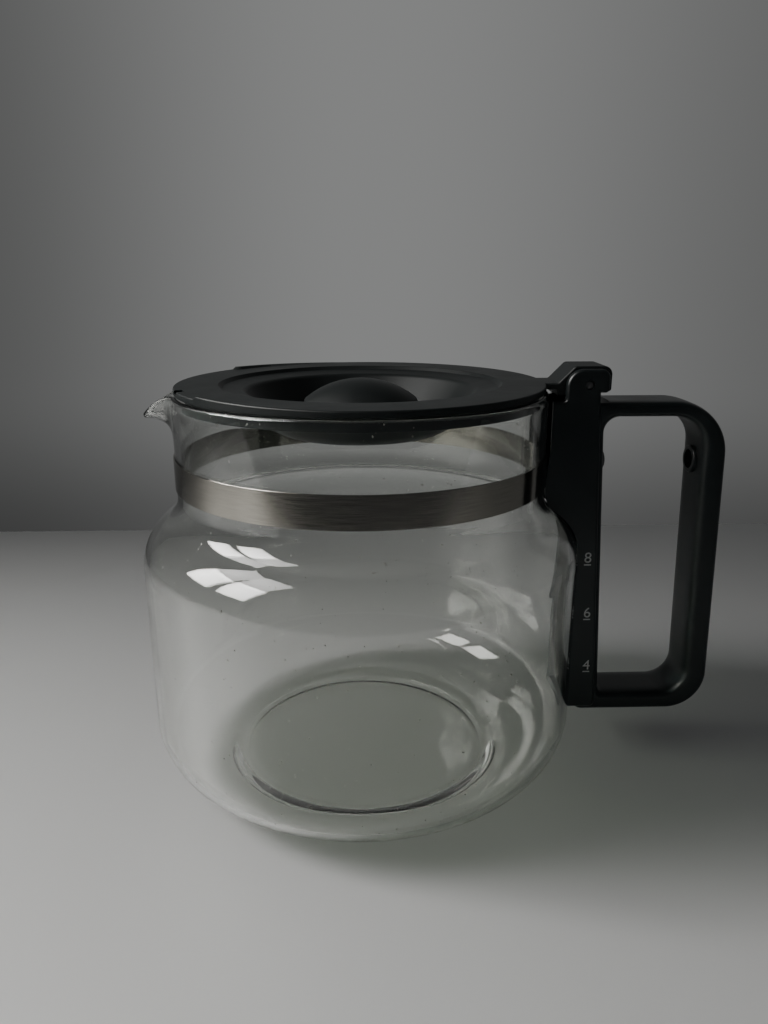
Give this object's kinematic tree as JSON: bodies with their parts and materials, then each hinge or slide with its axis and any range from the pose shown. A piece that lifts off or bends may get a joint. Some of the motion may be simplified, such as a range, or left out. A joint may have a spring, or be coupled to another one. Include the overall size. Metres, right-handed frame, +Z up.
{
  "type": "glass coffee carafe",
  "caption": "Round glass coffee carafe with a pouring lip, a clamped steel neck band, a black moulded D-shaped handle and a hinged black lid with a drip dome.",
  "frame": {"origin": "centre of the flat foot disc that the jug stands on", "axes": "+Z up along the jug's axis, +X towards the handle, -X towards the pouring lip, +Y along the lid's hinge pin"},
  "size_m": [0.1851, 0.1376, 0.131],
  "materials": {
    "clear_glass": "clear blown glass with a faint yellow-green edge tint",
    "brushed_steel": "stainless strip, brushed along its length",
    "zinc_plated_steel": "zinc-plated steel, dull",
    "handle_plastic": "near-black semi-gloss moulding",
    "lid_plastic": "near-black satin moulding"
  },
  "bodies": {
    "jug": {"glass_jug": "clear_glass", "neck_band": "brushed_steel", "band_anchor": "zinc_plated_steel", "clamp_screw": "zinc_plated_steel", "handle": "handle_plastic", "hinge_pin": "zinc_plated_steel"},
    "lid": {"lid": "lid_plastic"}
  },
  "joints": [
    {"name": "lid_hinge", "type": "hinge", "parent": "jug", "child": "lid", "pos_m": [0.0686, 0, 0.1256], "axis": [0, 1, 0], "range_deg": [0, 95]}
  ]
}
